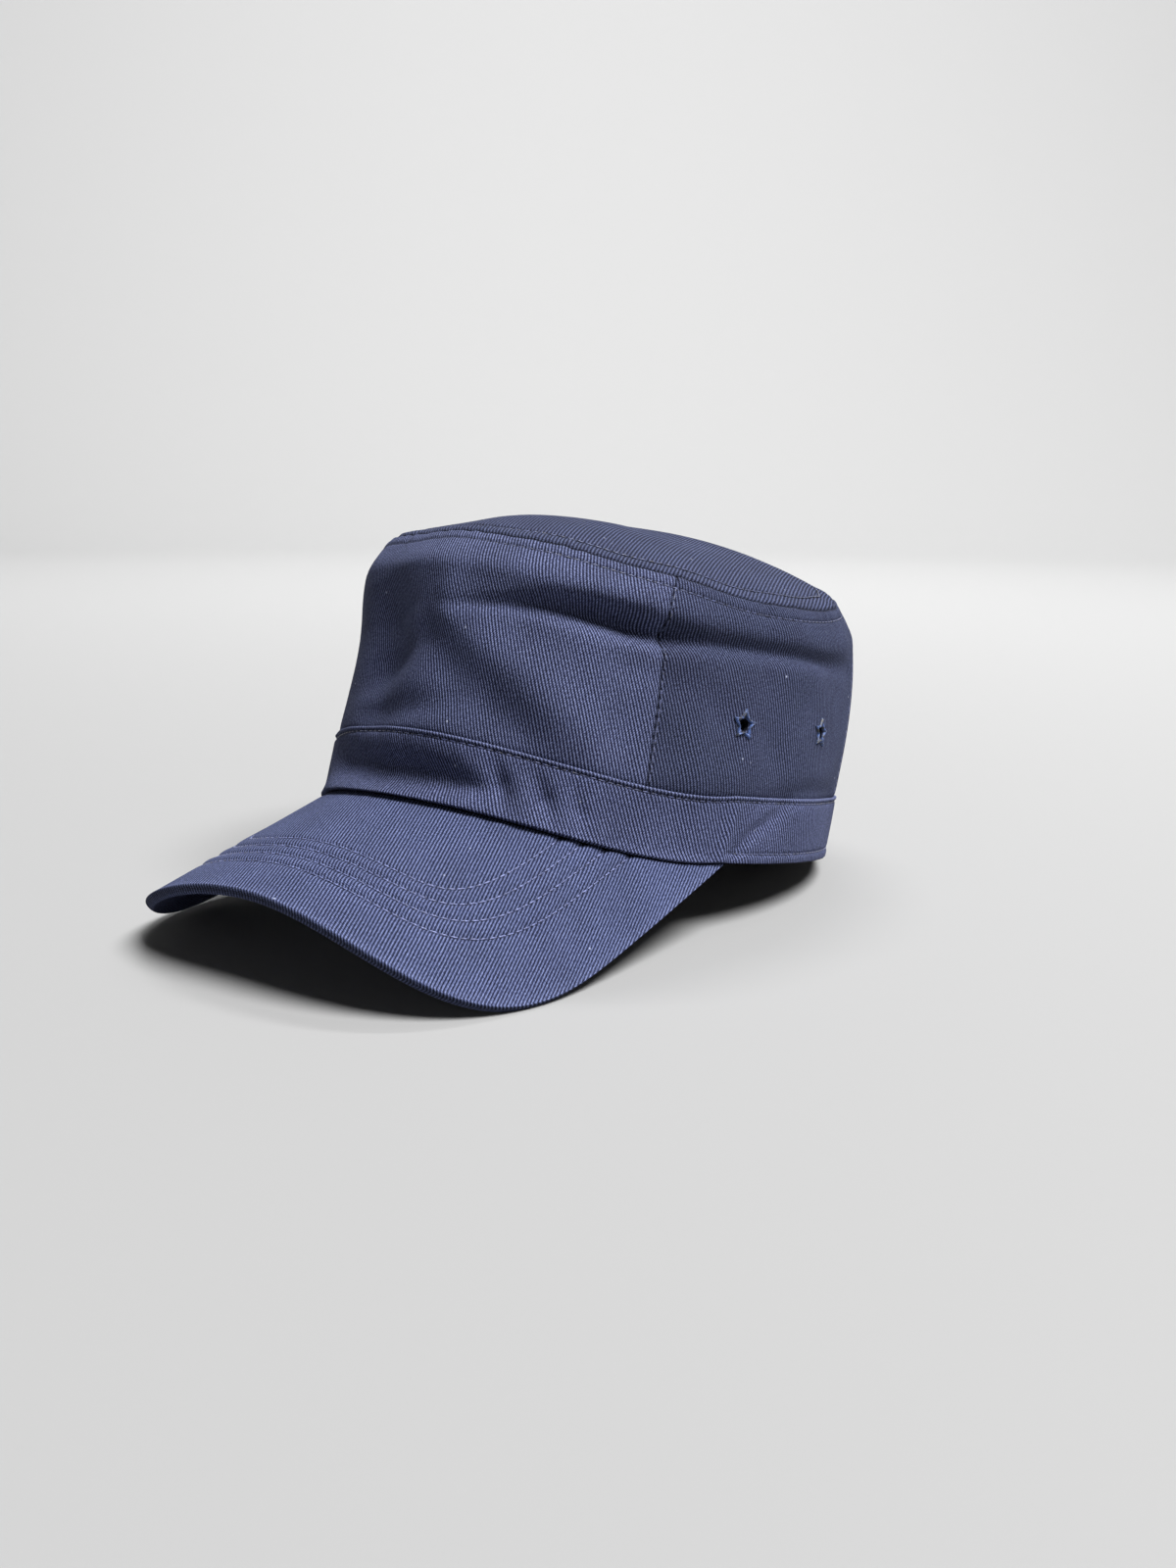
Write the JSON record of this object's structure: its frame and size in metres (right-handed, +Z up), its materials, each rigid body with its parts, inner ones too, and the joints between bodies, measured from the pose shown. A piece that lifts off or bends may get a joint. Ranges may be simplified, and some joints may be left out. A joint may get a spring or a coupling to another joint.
{
  "type": "cadet cap",
  "caption": "Soft flat-topped cotton cap with a panelled crown, an outer band, star-shaped vents and a stiff curved visor, worn on the head.",
  "frame": {"origin": "middle of the cap's box on the surface it stands on", "axes": "+Z up, -Y to the front of the cap, +X to the wearer's left"},
  "size_m": [0.1632, 0.2848, 0.1266],
  "materials": {
    "crown_cloth": "twill cloth, matt",
    "band_cloth": "twill cloth, matt",
    "visor_cloth": "twill cloth, matt",
    "eyelet_thread": "sewn thread, slight sheen"
  },
  "bodies": {
    "root": {"crown_top": "crown_cloth", "crown_front": "crown_cloth", "crown_side_left": "crown_cloth", "crown_side_right": "crown_cloth", "crown_back": "crown_cloth", "band": "band_cloth", "visor": "visor_cloth", "eyelet_left_front": "eyelet_thread", "eyelet_left_back": "eyelet_thread", "eyelet_right_front": "eyelet_thread", "eyelet_right_back": "eyelet_thread"}
  },
  "joints": []
}
